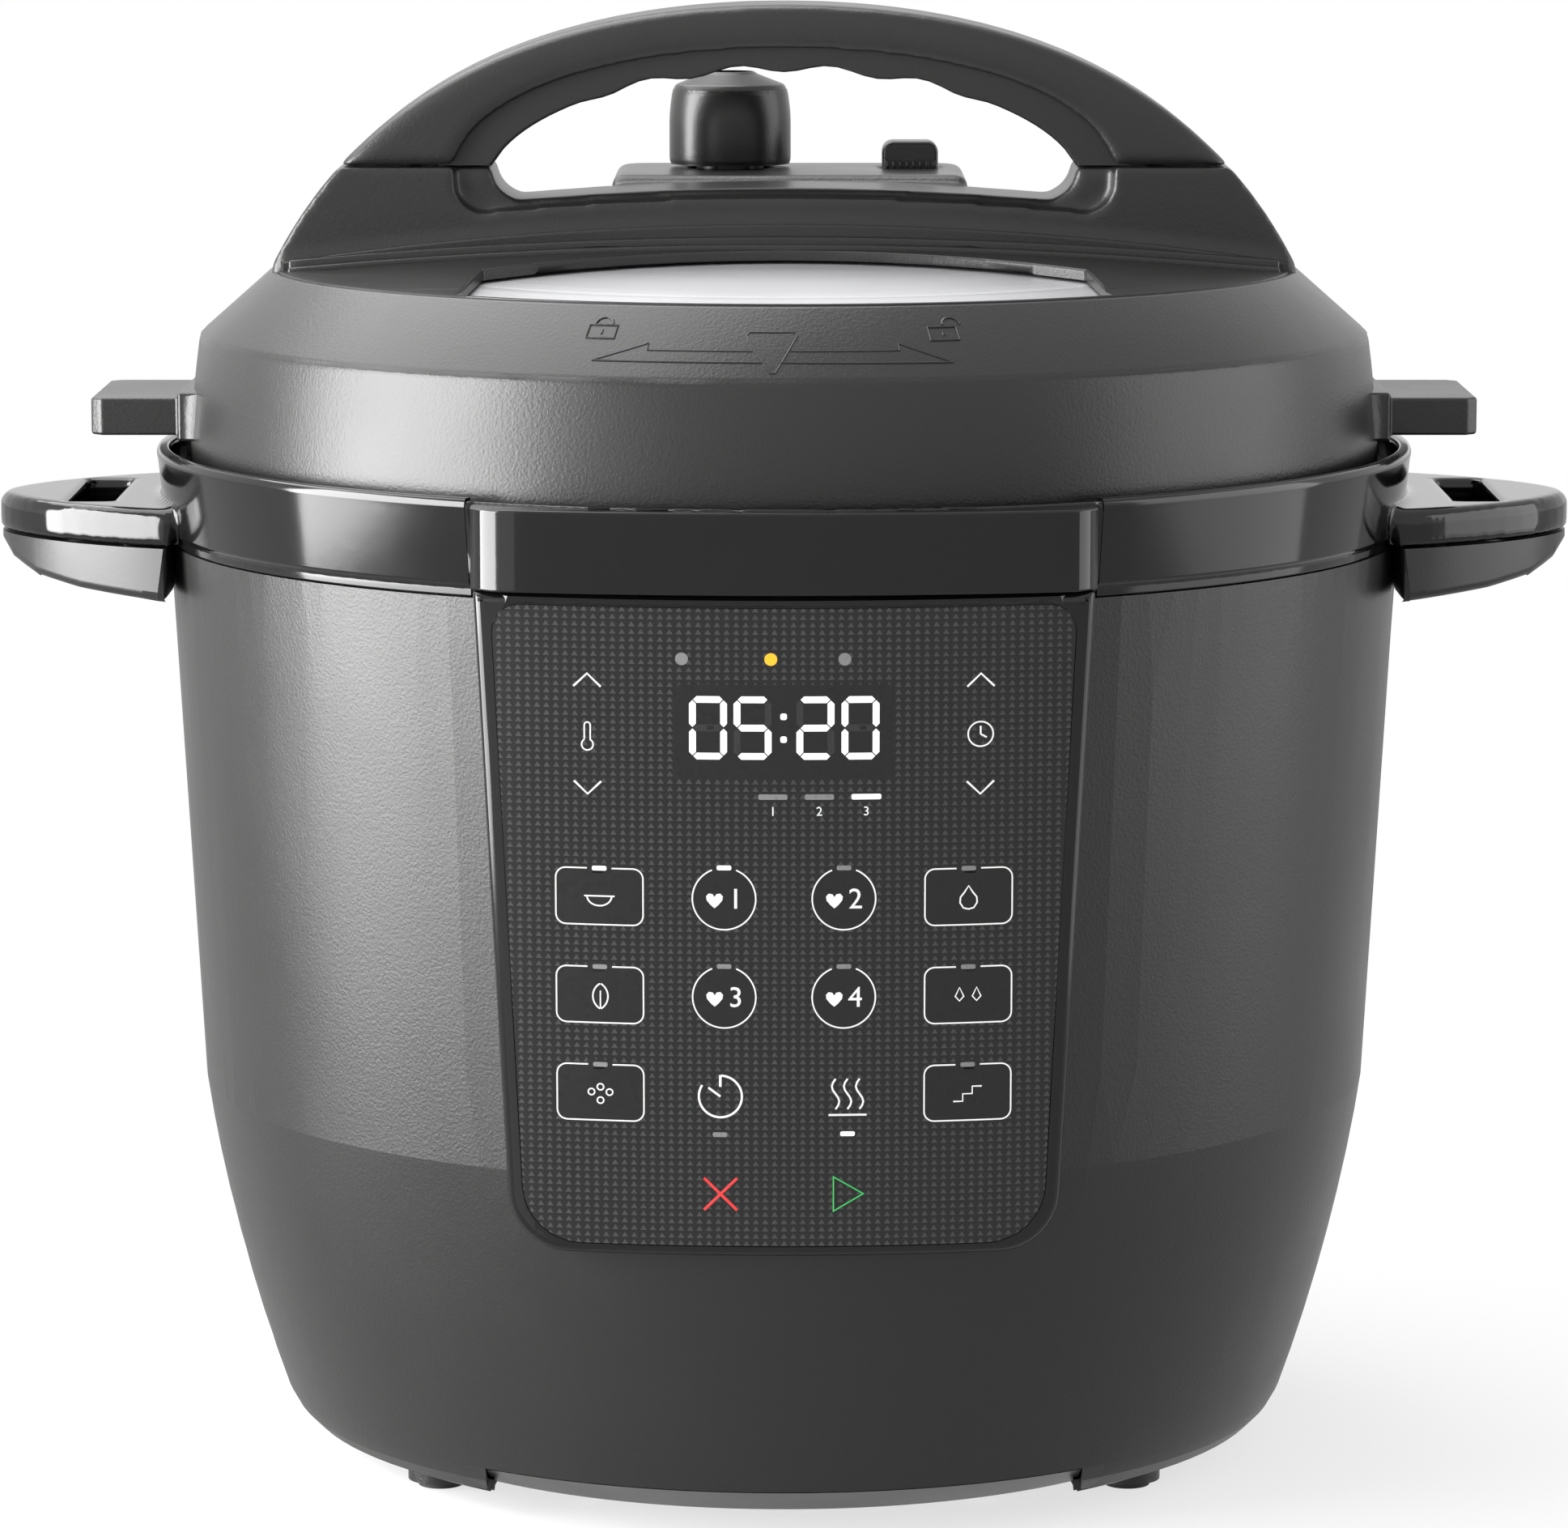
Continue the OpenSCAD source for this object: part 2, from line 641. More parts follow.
module key_switches() {
    body = 3;
    color("#c9c9c4") on_panel() for (k = keys) {
        front = bow_at(abs(k[0]) + 2) + overlay_t + gap;
        translate([k[0] - 3, board_y - gap - body, k[1] - 3]) cube([6, body, 6]);
        translate([k[0], front, k[1]]) rotate([-90, 0, 0])
            cylinder(r = 1.7, h = board_y - gap - body - front, $fn = 32);
    }
}
module panel_screws() {
    color("#8d8f92") on_panel() for (p = board_posts) translate([p[0], board_y + board_t + gap, p[1]])
        rotate([90, 0, 0]) screw(screw_r, board_t + 3.4, 2.9, 1.8);
}

module outer_pot() {
    r = 28;
    flat = chamber_r - r;
    line = concat([[36, chamber_z]], [for (i = [0:7]) let (a = -90 + 90 * i / 7)
        [flat + r * cos(a), chamber_z + r + r * sin(a)]], [[chamber_r, chamber_top]]);
    color("#a9acb0") difference() {
        union() {
            rotate_extrude($fn = 144) polygon(concat(line, reversed(shift_path(line, -chamber_wall))));
            translate([0, 0, chamber_top - flange_t]) {
                tube(chamber_r + 1.6, chamber_r - chamber_wall / 2, flange_t, $fn = 144);
                // The lugs are a little thinner than the rim
                for (i = [0:lugs - 1]) rotate(360 / lugs * (i + 0.5)) translate([0, 0, 0.2])
                    sector(chamber_r - chamber_wall / 2, flange_r, flange_t - 0.5, -pot_lug_angle / 2,
                        pot_lug_angle / 2, $fn = 144);
            }
        }
        for (i = [0:2]) rotate(120 * i + 30) translate([60, 0, chamber_z - cut])
            cylinder(r = 5, h = 10, $fn = 32);
    }
}
pot_lug_angle = min(lug_angle + 4, 180 / lugs - 1);
lid_lug_angle = min(lug_angle, 180 / lugs - 3);

module heating_plate() {
    z0 = plate_z + plate_leg;
    bowl = [[sensor_r + 2, z0], [plate_r - 6, z0], [plate_r, z0 + 4], [plate_r, plate_top - 1.6],
        [plate_r - 1.6, plate_top - 0.4], [plate_r - 12, plate_top], [sensor_r + 1, plate_top],
        [sensor_r + 1, plate_top - 3], [sensor_r + 2, plate_top - 3]];
    color("#b7b7b2") {
        rotate_extrude() polygon(bowl);
        rotate_extrude() translate([plate_r * 0.7, z0]) circle(r = 2.6, $fn = 24);
        for (i = [0:2]) rotate(120 * i - 30) translate([plate_r - 14, 0, plate_z])
            cylinder(r = 5, h = plate_leg + 1, $fn = 32);
        for (i = [0:1]) rotate(180 * i + 90) translate([plate_r * 0.7, 0, z0 - 1])
            cylinder(r = 2, h = 2, $fn = 24);
    }
}
sensor_low = chamber_z - 14;
module temperature_sensor() {
    color("#c4c6c8") {
        translate([0, 0, plate_top - 4]) cylinder(r = sensor_r, h = 4);
        translate([0, 0, sensor_low]) cylinder(r = 4, h = plate_top - 4 - sensor_low + 0.5, $fn = 48);
        translate([0, 0, sensor_low + 1]) cylinder(r = 5.4, h = 1.2, $fn = 48);
    }
}
module sensor_holder() {
    top = chamber_z - gap;
    color("#8f9296") difference() {
        union() {
            translate([0, 0, top - 1.2]) cylinder(r = 40, h = 1.2);
            translate([0, 0, sensor_low + 3]) cylinder(r = 11, h = top - sensor_low - 3);
        }
        translate([0, 0, sensor_low]) cylinder(r = 4.4, h = 40, $fn = 48);
        translate([0, 0, sensor_low + 4.4]) cylinder(r = 9.6, h = 40, $fn = 48);
        for (a = [0:90:270]) rotate(a + 45) translate([34, 0, top - 6]) cylinder(r = 1.8, h = 10, $fn = 32);
    }
}
module sensor_spring() {
    z0 = sensor_low + 4.4 + gap;
    color("#9aa0a6") translate([0, 0, z0]) coil(6.4, 1, plate_top - 4 - gap - z0, 5);
}
module heat_shield() {
    r = plate_r + 2;
    z = chamber_z - 7;
    line = [[14, z], [r, z], [r + 3, z + 3], [r + 3, chamber_z - gap]];
    color("#c2c4c6") difference() {
        rotate_extrude() polygon(concat(line, reversed(shift_path(line, -0.6))));
        for (i = [0:2]) rotate(120 * i + 30) translate([60, 0, z - cut]) cylinder(r = 6, h = 8, $fn = 32);
        translate([-8, -r - 10, z - cut]) cube([16, 40, 20]);
    }
}

board_z = base_z + base_t + 8;
board_size = [110, 64];
board_at = [-55, -38];
module power_board() {
    color("#256b45") difference() {
        translate([board_at[0], board_at[1], board_z]) cube([board_size[0], board_size[1], 1.6]);
        for (p = standoffs) translate([p[0], p[1], board_z - cut]) cylinder(r = 1.8, h = 6, $fn = 32);
    }
}
standoffs = [for (x = [5, board_size[0] - 5], y = [5, board_size[1] - 5])
    [board_at[0] + x, board_at[1] + y]];
module board_parts() {
    z = board_z + 1.6 + gap;
    color("#3a6ea5") translate([-44, -28, z]) cube([20, 16, 14]);
    color("#3b3b3b") translate([14, -26, z]) cube([24, 20, 9]);
    color("#2d2f6b") at_each([[-10, -20, z], [2, -20, z]]) cylinder(r = 4, h = 13, $fn = 32);
    color("#b8860b") translate([-34, 6, z]) cube([18, 9, 12]);
    color("#dddddd") at_each([[20, 8, z], [32, 8, z]]) cube([8, 6, 7]);
}
module thermal_fuse() {
    z = chamber_z - 7 - 0.6 - gap - 5;
    color("#e6e2d6") translate([52, 26, z]) {
        cube([26, 8, 5]);
        translate([-5, 3, 1.5]) cube([5.5, 2, 1]);
        translate([25.5, 3, 1.5]) cube([5.5, 2, 1]);
    }
}
module pressure_switch() {
    z = chamber_z - 7 - 0.6 - gap - 10;
    color("#d9d4c4") translate([-66, 22, z]) {
        cube([20, 16, 10]);
        translate([4, 16, 3]) cube([2, 5, 1]);
        translate([14, 16, 3]) cube([2, 5, 1]);
    }
}
module wiring() {
    z = inlet_z + inlet_h / 2 - 1;
    y0 = board_at[1] + board_size[1] - 9;
    foot = board_z + 1.6 + gap;
    color("#b33a2f") {
        translate([-blade_x - 3, y0, foot]) cube([2 * blade_x + 6, 7, z + 3 - foot]);
        for (s = [-1, 1]) translate([s * blade_x, y0 + 5, z]) rotate([-90, 0, 0])
            cylinder(r = 1.6, h = blade_y - gap - y0 - 5, $fn = 24);
    }
}
blade_x = 7;
blade_y = inlet_y - inlet_depth - 5;
module power_inlet() {
    y = inlet_y;
    depth = inlet_depth;
    w = inlet_w - 7;
    h = inlet_h - 6.4;
    mid = inlet_z + inlet_h / 2;
    color("#171717") difference() {
        union() {
            translate([-inlet_w / 2, y, inlet_z]) cube([inlet_w, inlet_t, inlet_h]);
            translate([-w / 2, y - depth, mid - h / 2]) cube([w, depth + cut, h]);
        }
        translate([-w / 2 + 1.6, y - depth + 6, mid - h / 2 + 1.6]) cube([w - 3.2, depth + 10, h - 3.2]);
    }
    color("#b9bcc0") for (x = [-blade_x, 0, blade_x])
        translate([x - 1, blade_y, mid - 2 + (x == 0 ? 2 : -1)]) cube([2, depth + 1, 4]);
}

module base_plate() {
    disc_r = hem_r - 10.6;
    band_r = hem_r - 16.5;
    band_x = plinth_x - gap;
    color("#242322") difference() {
        union() {
            translate([0, 0, base_z]) cylinder(r = band_r, h = base_t);
            difference() {
                translate([0, 0, base_z]) cylinder(r = disc_r, h = base_t);
                translate([-band_x + cut, -disc_r - cut, 0])
                    cube([2 * band_x - 2 * cut, 2 * disc_r + 2 * cut, 40]);
            }
            intersection() {
                rotate_extrude() polygon([[band_r - 12, base_z], [band_r, base_z],
                    [hem_r - 0.5, hem_z - gap],
                    [hem_r - 3.5, hem_z - gap], [band_r - 1, base_z + base_t],
                        [band_r - 12, base_z + base_t]]);
                translate([-band_x, -hem_r - 10, 0]) cube([2 * band_x, 2 * hem_r + 20, 40]);
            }
            at_each([for (x = [-1, 1], y = [-1, 1]) [x * foot_x, y * foot_y, base_z - 2.6]])
                cylinder(r = foot_r + 2.2, h = 4, $fn = 48);
            at_each([for (p = standoffs) [p[0], p[1], base_z + 0.5]])
                cylinder(r = 3.4, h = board_z - gap - base_z - 0.5, $fn = 32);
        }
        at_each([for (x = [-1, 1], y = [-1, 1]) [x * foot_x, y * foot_y, base_z - 2.6 - cut]])
            cylinder(r = foot_r + run, h = cut + 2, $fn = 48);
        for (y = [-60:8:-20]) translate([-24, y, base_z - cut]) cube([48, 3, base_t + 2 * cut]);
        for (y = [40:8:72]) translate([-24, y, base_z - cut]) cube([48, 3, base_t + 2 * cut]);
        for (p = standoffs) translate([p[0], p[1], base_z + 3]) cylinder(r = 1.6, h = 30, $fn = 32);
        for (a = base_screw_a) rotate(a) translate([base_screw_r, 0, base_z - cut])
            cylinder(r = 1.8, h = 8, $fn = 32);
    }
}
base_screw_a = [0, 60, 120, 180, 240, 300];
base_screw_r = hem_r - 27;
module rubber_feet() {
    color("#1b1b1b") at_each([for (x = [-1, 1], y = [-1, 1]) [x * foot_x, y * foot_y, 0]]) {
        cylinder(r = foot_r, h = base_z - 1.6 - gap, $fn = 48);
    }
}
module base_screws() {
    color("#8d8f92") {
        for (a = base_screw_a) rotate(a) translate([base_screw_r, 0, base_z - gap])
            screw(screw_r, 10, 3, 1.6);
        for (p = standoffs) translate([p[0], p[1], board_z + 1.6 + gap]) mirror([0, 0, 1])
            screw(screw_r, 7, 2.8, 1.4);
    }
}

module condensation_cup() {
    x = cup_w / 2;
    y0 = cup_y - cup_d;
    color("#5c6166", 0.6) difference() {
        intersection() {
            translate([-x, y0, cup_z]) cube([2 * x, cup_d + 10, cup_h]);
            translate([0, 0, cup_z - cut]) cylinder(r = cup_y, h = cup_h + 2 * cut, $fn = 144);
        }
        intersection() {
            translate([-x + cup_wall, y0 + cup_wall, cup_z + cup_wall])
                cube([2 * x - 2 * cup_wall, cup_d, cup_h]);
            translate([0, 0, cup_z - cut]) cylinder(r = cup_y - cup_wall, h = cup_h + 2 * cut, $fn = 144);
        }
    }
}

module inner_pot() {
    line = concat([[0, pot_z]], [for (i = [0:8]) let (a = -90 + 90 * i / 8)
        [pot_r - pot_corner + pot_corner * cos(a), pot_z + pot_corner + pot_corner * sin(a)]],
        [[pot_r, rim_z - pot_wall - 1.2], [pot_r + 1.2, rim_z - pot_wall],
            [pot_r + pot_rim, rim_z - pot_wall]]);
    color("#c9ccd0") rotate_extrude($fn = 144) polygon(concat(line, reversed(shift_path(line, -pot_wall))));
}

module sealing_ring() {
    mid = (ring_in + ring_out) / 2;
    color("#dfe3e4") rotate_extrude($fn = 144) polygon([[ring_in, ring_z + 1], [ring_in + 1, ring_z],
        [ring_out - 1, ring_z], [ring_out, ring_z + 1], [ring_out, ring_z + ring_h - 0.6],
        [ring_out - 0.6, ring_z + ring_h], [mid + 1.9, ring_z + ring_h], [mid + 1.9, ring_z + 4.6],
        [mid - 1.9, ring_z + 4.6], [mid - 1.9, ring_z + ring_h], [ring_in + 0.6, ring_z + ring_h],
        [ring_in, ring_z + ring_h - 0.6]]);
}
module gasket_rack() {
    mid = (ring_in + ring_out) / 2;
    top = shoulder_z - steel_t - gap;
    color("#b4b8bc") {
        translate([0, 0, ring_z + 6.4]) rotate_extrude($fn = 144) translate([mid, 0])
            circle(r = 1.4, $fn = 24);
        for (i = [0:5]) rotate(60 * i) translate([mid, 0, ring_z + 6.4])
            cylinder(r = 1, h = top - ring_z - 6.4, $fn = 24);
    }
}

steel_line = concat([[lid_r, lid_lug_z]], [for (a = [0:18:90])
    [lid_r - 3.5 + 3.5 * cos(a), shoulder_z - 3.5 + 3.5 * sin(a)]],
    [[ring_out - 1, shoulder_z]], [for (a = [0:22.5:67.5])
        [dome_r + 3.4 * cos(a) + 0.6, dome_z - 3.4 + 3.4 * sin(a)]],
    [for (r = [dome_r - 1:-(dome_r - 1) / 10:1]) [r, dome_at(r)]], [[0, dome_top]]);
module steel_lid() {
    color("#c8cacc") difference() {
        union() {
            rotate_extrude($fn = 144) polygon(spun(concat(steel_line,
                reversed(shift_path(steel_line, -steel_t)))));
            translate([0, 0, lid_lug_z]) for (i = [0:lugs - 1]) rotate(360 / lugs * (i + 0.5))
                sector(lid_lug_r, lid_in + steel_t / 2, lug_t, -lid_lug_angle / 2, lid_lug_angle / 2,
                    $fn = 144);
        }
        translate([knob_x, release_y, dome_z - 8]) cylinder(r = pipe_r + gap, h = 30, $fn = 48);
        translate([float_x, float_y, dome_z - 8]) cylinder(r = float_r + gap, h = 30, $fn = 48);
        translate([lock_x, 0, dome_z - 8]) cylinder(r = lock_r + gap, h = 30, $fn = 48);
        at_each(lid_screw_at) cylinder(r = 2.3, h = 30, $fn = 32);
    }
}
lid_screw_at = [for (x = [-82, 82], y = [-9, 9]) [x, y, dome_z - 12]];

// Curves of the handle, in X and Z, right half
arch = curve([[0, handle_top], [52, handle_top], [handle_half - 19.2, handle_top - 17.5],
    [handle_half, slope_top + 1.6]], 20);
face_hole = curve([[0, hole_top], [grip_half * 0.51, hole_top], [grip_half * 0.94, hole_top - 8.9],
    [grip_half, seam_z]], 14);
hole_half = grip_half - 8;
smooth_hole = curve([[0, finger_top], [hole_half * 0.42, finger_top], [hole_half * 0.9, finger_top - 7.9],
    [hole_half, seam_z]], 28);
finger_hole = [for (p = smooth_hole) p - [0, scallop_h * cos(360 * p[0] / 19.6)
    * max(0, min(1, (46 - p[0]) / 10))]];
// Top of the bridge between the handle's feet
function bridge_at(x) = bridge_z - 0.0008 * x * x;
bridge = [for (x = [0:10:50]) [x, bridge_at(x)]];
// Outline of the handle's lower part: the finger opening's side starts at half, and the bridge
// lies drop below its ridge
function foot_outline(half, drop) =
    let (
        inner = concat([for (q = bridge) q - [0, drop]], [[half - 9, bridge_at(half - 9) - drop],
            [half - 5, bridge_at(half) + 0.6 - drop], [half - 2, bridge_at(half) + 2.4 - drop],
            [half - 0.4, bridge_at(half) + 4.8 - drop], [half, seam_z]]),
        outer = concat([for (p = arch) if (p[1] < seam_z) p], [[handle_half, dome_z - 1]])
    )
    concat(inner, [[arch_seam_x, seam_z]], outer);
arch_inside = shift_path(arch, handle_wall);
arch_cavity_x = lookup(handle_wall - seam_z, [for (p = arch_inside) [-p[1], p[0]]]);
arch_seam_x = lookup(-seam_z, [for (p = arch) [-p[1], p[0]]]);
function whole(right) = concat(right, reversed(flipped([for (p = right) if (p[0] > 0) p])));

module lid_ring() {
    // Closed outline of the cover's skirt and slope
    line = [[skirt_r, skirt_z], [skirt_r - 0.1, skirt_z + 9], [skirt_r - 1.3, skirt_z + 23],
        [skirt_r - 2.1, skirt_z + 28], [skirt_r - skirt_taper, slope_z], [slope_r, slope_top],
        [slope_r - 1.4, slope_top]];
    rotate_extrude($fn = 144) polygon(concat(line, reversed(shift_path(line, -cover_wall))));
}
module lid_deck() {
    edge = slope_r - 1;
    steps = 12;
    rotate_extrude($fn = 144) polygon(concat(
        [for (i = [0:steps]) let (r = edge * i / steps) [r, dome_at(min(r, dome_r)) + deck_gap - cut]],
        [for (i = [steps:-1:0]) let (r = edge * i / steps)
            [r, dome_at(min(r, dome_r)) + deck_gap + deck_t]]));
}
// Window in the deck; f mirrors it to the rear
module window(f) {
    half = 63;
    sag = 22;
    edge = slope_r - 2.2;
    rear = [for (i = [-6:6]) let (x = half * i / 6) [x, -(handle_y + 5.6) - sag * pow(i / 6, 2)]];
    mirror([0, f, 0]) translate([0, 0, dome_z - 5]) linear_extrude(30) intersection() {
        circle(r = edge, $fn = 144);
        polygon(concat(rear, [[half + 5, -slope_r + 10], [half + 5, -slope_r], [-half - 5, -slope_r],
            [-half - 5, -slope_r + 10]]));
    }
}
function platform_plan(g) = rounded(rect(platform_x[0] - g, platform_y[0] - g, platform_x[1] + g,
    platform_y[1] + g),
    [0, 0, max(1, 6 + g), max(1, 6 + g)]);
// Stepped flare round the handle's foot: d in front of the face, top at height z
module flare(d, z) {
    half = handle_half - 2;
    arcs = [for (i = [-8:8]) let (x = half * i / 8) [x, z - 0.0007 * x * x]];
    prism_y(concat(arcs, [[half, dome_z - 1], [-half, dome_z - 1]]), -handle_y - d, handle_y + d);
}
module lid_cover() {
    roof = seam_z - handle_wall / 2;
    color("#2a2928") difference() {
        union() {
            lid_ring();
            difference() {
                lid_deck();
                window(0);
                difference() {
                    window(1);
                    translate([0, 0, dome_z - 10]) linear_extrude(60) polygon(platform_plan(3));
                }
            }
            prism_y(whole(foot_outline(grip_half, 1.8)), -handle_y, handle_y);
            prism_y(whole(foot_outline(hole_half, 0)), -bridge_y, bridge_y);
            flare(1.4, slope_top + 10.4);
            flare(2.8, slope_top + 6.8);
            platform_box(0, platform_z - 1.2);
            platform_box(-1.2, platform_z);
            for (m = [0, 1]) mirror([m, 0, 0]) fin();
        }
        prism_y(whole(concat([[0, bridge_z - handle_wall]],
            [for (x = [10:10:50]) [x, bridge_at(x) - handle_wall]],
            [[grip_half - 4, bridge_at(grip_half) - 1.6], [grip_half + 1, seam_z - handle_wall]],
            [[arch_cavity_x, seam_z - handle_wall]],
                [for (p = arch_inside) if (p[1] < seam_z - handle_wall) p],
            [[handle_half - handle_wall, dome_z - 5]])), -handle_y + handle_wall, handle_y - handle_wall);
        difference() {
            translate([0, 0, dome_z - 5]) linear_extrude(platform_z - platform_wall - dome_z + 5)
                polygon(platform_plan(-platform_wall));
            translate([-100, -100, 0]) cube([200, 100 + handle_y + 1, 400]);
        }
        under_dome();
        translate([knob_x, release_y, dome_z]) cylinder(r = sleeve_r + 1.2, h = 50, $fn = 48);
        translate([switch_x - switch_w / 2 - gap, release_y - switch_d / 2 - gap, platform_z - 10])
            cube([switch_w + 2 * gap, switch_d + 2 * gap, 30]);
        translate([float_x, float_y, dome_z - 5]) cylinder(r = float_r + 2.4, h = 30, $fn = 48);
        for (s = [-1, 1]) translate([s * handle_screw_x, 0, seam_z - 10])
            cylinder(r = 2.3, h = 20, $fn = 32);
    }
    color("#2a2928") {
        difference() {
            for (p = lid_screw_at) let (z = dome_at(norm([p[0], p[1]])) + deck_gap)
                translate([p[0], p[1], z]) cylinder(r = 4.2, h = roof - z, $fn = 32);
            at_each(lid_screw_at) cylinder(r = 2.05, h = 26, $fn = 32);
        }
        difference() {
            translate([lock_x, 0, lock_guide_z]) cylinder(r = 5.6, h = roof - lock_guide_z, $fn = 32);
            translate([lock_x, 0, dome_z]) cylinder(r = lock_r + gap, h = seam_z - handle_wall - dome_z,
                $fn = 32);
        }
        lever_brackets();
    }
}
// Everything below the deck, which the steel dome fills
module under_dome() {
    steps = 10;
    edge = slope_r - 0.5;
    rotate_extrude($fn = 144) polygon(concat([[0, dome_z - 20], [edge, dome_z - 20],
        [edge, dome_z + deck_gap]],
        [for (i = [steps:-1:0]) let (r = dome_r * i / steps) [r, dome_at(r) + deck_gap]]));
}
module platform_box(g, top) {
    translate([0, 0, dome_z]) linear_extrude(top - dome_z) polygon(platform_plan(g));
}
fin_z = skirt_z + 10.4;
module fin() {
    difference() {
        union() {
            translate([0, -fin_w / 2, fin_z]) cube([skirt_r + fin_reach, fin_w, fin_t]);
            translate([0, -fin_w / 2 - 1.2, fin_z - 1.2]) cube([skirt_r + 1.2, fin_w + 2.4, fin_t + 2.4]);
        }
        translate([0, 0, fin_z - 5]) cylinder(r = skirt_r - 1.8, h = 30, $fn = 144);
        for (s = [-1, 1]) translate([skirt_r + fin_reach, s * fin_w / 2, fin_z - 5]) rotate(s * 45)
            translate([-1.6, -10, 0]) cube([10, 20, 30]);
    }
}
module lever_brackets() {
    z0 = lever_z - 3;
    for (s = [-1, 1]) difference() {
        translate([pivot_x - 3, release_y + s * 7 - 1, z0])
            cube([6, 2, platform_z - platform_wall / 2 - z0]);
        translate([pivot_x, release_y + s * 7 - 5, lever_z]) rotate([-90, 0, 0])
            cylinder(r = pivot_r + run, h = 10, $fn = 48);
    }
}

handle_screw_x = grip_half + 10;
module lid_handle() {
    shape = concat(arch_above, [[arch_seam_x, seam_z + gap], [grip_half, seam_z + gap]],
        reversed([for (p = face_hole) if (p[1] > seam_z + 1) p]));
    inner = shift_path(concat([[-1, handle_top]], arch_above, [[arch_seam_x, seam_z]]), handle_wall);
    hollow = concat([for (p = inner) if (p[1] > seam_z) [max(0, p[0]), p[1]]],
        [[arch_seam_x - handle_wall, seam_z - cut],
        [0, seam_z - cut]]);
    color("#262524") difference() {
        union() {
            prism_y(whole(shape), -handle_y + 1.4, handle_y - 1.4);
            intersection() {
                prism_y(whole(shape), -handle_y, handle_y);
                translate([0, 0, -1.2]) prism_y(whole(concat([[0, handle_top]], arch_above,
                    [[arch_seam_x + 5, seam_z - 5]])),
                    -handle_y, handle_y);
            }
        }
        prism_y(whole(hollow), -handle_y + handle_wall, handle_y - handle_wall);
    }
    color("#262524") for (s = [-1, 1]) difference() {
        translate([s * handle_screw_x, 0, seam_z + gap]) cylinder(r = 4, h = 7, $fn = 32);
        translate([s * handle_screw_x, 0, seam_z - cut]) cylinder(r = 2.05, h = 8, $fn = 32);
    }
    color("#262524") for (s = [-1, 1]) translate([s * handle_screw_x - 0.8, -handle_y + 1,
        seam_z + gap + 3])
        difference() {
            cube([1.6, handle_d - 2, 6]);
            translate([0.8 , handle_y - 1, -4]) cylinder(r = 2.05, h = 9, $fn = 32);
        }
}
arch_above = [for (p = arch) if (p[1] > seam_z + 1) p];
module handle_underside() {
    lift = 3.6;
    top = shift_path(face_hole, -lift);
    upper = [for (p = top) if (p[1] > seam_z + gap) [max(0, p[0]), p[1]]];
    lower = [for (p = finger_hole) if (p[1] > seam_z + gap) p];
    d = handle_y - handle_wall - gap;
    color("#242322") prism_y(whole(concat(upper, [[grip_half + lift - gap, seam_z + gap],
        [hole_half, seam_z + gap]],
        reversed(lower))), -d, d);
}
module handle_screws() {
    color("#8d8f92") for (s = [-1, 1]) translate([s * handle_screw_x, 0, seam_z - handle_wall - gap])
        screw(2, 9, 3.6, 2.4);
}
module lid_screws() {
    color("#8d8f92") for (p = lid_screw_at) translate([p[0], p[1], dome_at(norm([p[0], p[1]]))
        - steel_t - gap])
        screw(2, 12, 3.6, 2.2);
}

pipe_at = [knob_x, release_y, dome_at(norm([knob_x, release_y]))];
pipe_top = platform_z + 7.5;
module steam_pipe() {
    color("#b0b4b8") translate([knob_x, release_y, 0]) difference() {
        union() {
            translate([0, 0, pipe_at[2] - 11]) cylinder(r = pipe_r, h = pipe_top - pipe_at[2] + 11,
                $fn = 48);
            translate([0, 0, pipe_at[2] - steel_t - gap - 2.4]) cylinder(r = 8, h = 2, $fn = 48);
        }
        translate([0, 0, pipe_at[2] - 12]) cylinder(r = pipe_r - 2, h = 60, $fn = 48);
    }
}
module pipe_nut() {
    color("#9b9fa3") translate([knob_x, release_y, pipe_at[2] + 0.6]) difference() {
        cylinder(r = 7.8, h = 2.4, $fn = 6);
        translate([0, 0, -cut]) cylinder(r = pipe_r + run, h = 5, $fn = 48);
    }
}
module steam_shield() {
    top = pipe_at[2] - steel_t - gap - 2.4 - gap;
    color("#b9bcbf") translate([knob_x, release_y, 0]) difference() {
        translate([0, 0, top - 11]) cylinder(r = 12, h = 11, $fn = 64);
        translate([0, 0, top - 10]) cylinder(r = 11, h = 9, $fn = 64);
        translate([0, 0, top - 3]) cylinder(r = pipe_r + gap, h = 6, $fn = 48);
        for (a = [0:45:135]) rotate(a) translate([-13, -1.4, top - 9.4]) cube([26, 2.8, 6]);
        for (a = [0:60:300]) rotate(a) translate([6.5, 0, top - 12]) cylinder(r = 1.5, h = 3, $fn = 24);
    }
}
sleeve_r = 7.5;
module steam_knob() {
    z0 = platform_z + 0.8;
    low = lever_z + lever_t / 2 + lever_gap;
    bore = pipe_r + 0.5;
    color("#262524") translate([knob_x, release_y, 0]) rotate_extrude()
        polygon([[bore, low], [sleeve_r, low],
        [sleeve_r, z0 + 4], [knob_r - 2, z0 + 4], [knob_r - 2, z0], [knob_r - 0.2, z0], [knob_r, z0 + 1],
        [knob_r, z0 + knob_h * 0.55], [knob_r - 0.7, z0 + knob_h - 4], [knob_r - 1.6, z0 + knob_h - 2.9],
        [5.9, z0 + knob_h - 0.5], [5.3, z0 + knob_h], [0, z0 + knob_h], [0, pipe_top + gap],
            [bore, pipe_top + gap]]);
}
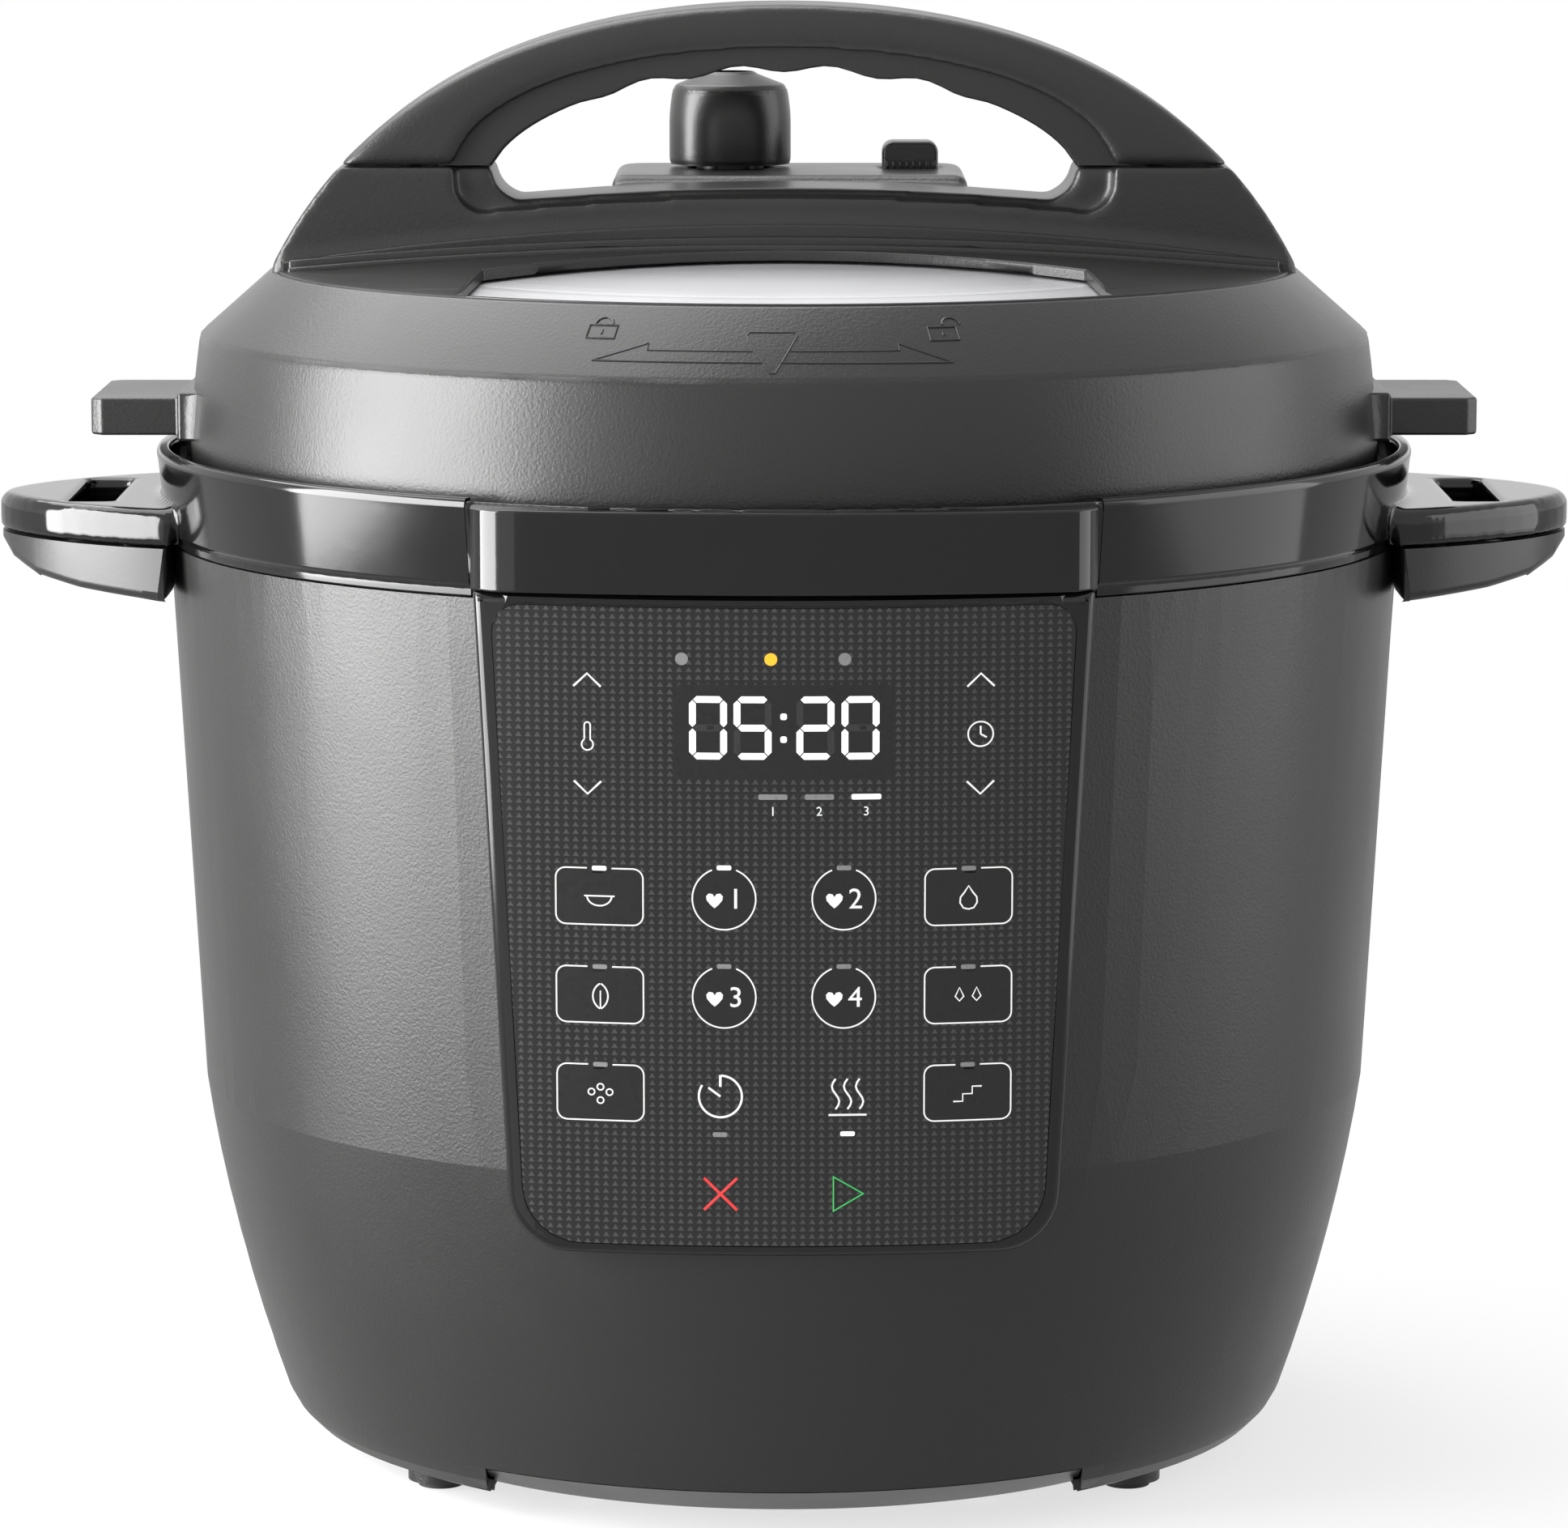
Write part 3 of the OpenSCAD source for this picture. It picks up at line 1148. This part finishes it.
module release_switch() {
    z1 = platform_z + switch_h;
    flange_z = platform_z - platform_wall - gap - 1.4;
    low = lever_z + lever_t / 2 + lever_gap;
    x = switch_w / 2;
    top = rounded(rect(-x, flange_z, x, z1), [0, 0, 2.4, 2.4]);
    color("#1c1c1c") translate([switch_x, release_y, 0]) {
        prism_y(top, -switch_d / 2, switch_d / 2);
        translate([-x - 1.2, -switch_d / 2 - 1.2, flange_z]) cube([switch_w + 2.4, switch_d + 2.4, 1.4]);
        translate([-0.8, -2.5, low]) cube([2, 5, flange_z - low + 0.5]);
    }
}
module release_lever() {
    t = lever_t / 2;
    fork = pipe_r + 0.8;
    color("#77797c") difference() {
        union() {
            translate([pivot_x - 16, release_y - 4, lever_z - t]) cube([16 + arm + 1.5, 8, lever_t]);
            translate([knob_x - 1.5, release_y - 8.6, lever_z - t]) cube([9, 17.2, lever_t]);
            translate([pivot_x, release_y - 5.6, lever_z]) rotate([-90, 0, 0])
                cylinder(r = pivot_r + 1.4, h = 11.2, $fn = 48);
        }
        translate([knob_x - 5, release_y - fork, lever_z - 5]) cube([11.5, 2 * fork, 10]);
        translate([pivot_x, release_y - 10, lever_z]) rotate([-90, 0, 0])
            cylinder(r = pivot_r + run, h = 20, $fn = 48);
    }
}
module lever_pin() {
    color("#a5a8ab") translate([pivot_x, release_y - 9, lever_z]) rotate([-90, 0, 0])
        cylinder(r = pivot_r, h = 18, $fn = 48);
}
float_z = dome_at(norm([float_x, float_y]));
module float_valve() {
    color("#c0c3c6") translate([float_x, float_y, 0]) {
        translate([0, 0, float_z - steel_t - float_travel - 4])
            cylinder(r = float_r, h = steel_t + float_travel + 5, $fn = 48);
        translate([0, 0, float_z + 0.5]) cylinder(r = float_r + 1.6, h = 2, $fn = 48);
    }
}
module float_seal() {
    top = float_z - steel_t - float_travel - gap - 0.4;
    color("#d8dad8") translate([float_x, float_y, top - 2.9])
        tube(float_r + 2.6, float_r + run, 2.9, $fn = 48);
}
lock_z = dome_at(abs(lock_x));
lock_guide_z = lock_z + deck_gap + 13;
module lock_pin() {
    color("#c0c3c6") translate([lock_x, 0, 0]) {
        translate([0, 0, lock_z - 10]) cylinder(r = lock_r, h = lock_guide_z + 1 - lock_z + 10, $fn = 48);
        translate([0, 0, lock_z + 0.6]) cylinder(r = lock_r + 2.2, h = 1.4, $fn = 48);
    }
}
module lock_spring() {
    z0 = lock_z + 2 + gap;
    color("#9aa0a6") translate([lock_x, 0, z0]) coil(lock_r + 1.2, 0.8, lock_guide_z - gap - z0, 5);
}

outer_housing();
collar_ring();
left_grip();
right_grip();
header_strip();
panel_bezel();
panel_overlay();
display_module();
control_board();
key_switches();
panel_screws();
outer_pot();
heating_plate();
temperature_sensor();
sensor_spring();
sensor_holder();
heat_shield();
power_board();
board_parts();
thermal_fuse();
pressure_switch();
wiring();
power_inlet();
base_plate();
rubber_feet();
base_screws();
grip_screws();
condensation_cup();
inner_pot();
sealing_ring();
gasket_rack();
steel_lid();
lid_cover();
lid_handle();
handle_underside();
handle_screws();
lid_screws();
steam_pipe();
pipe_nut();
steam_shield();
steam_knob();
release_switch();
release_lever();
lever_pin();
float_valve();
float_seal();
lock_pin();
lock_spring();
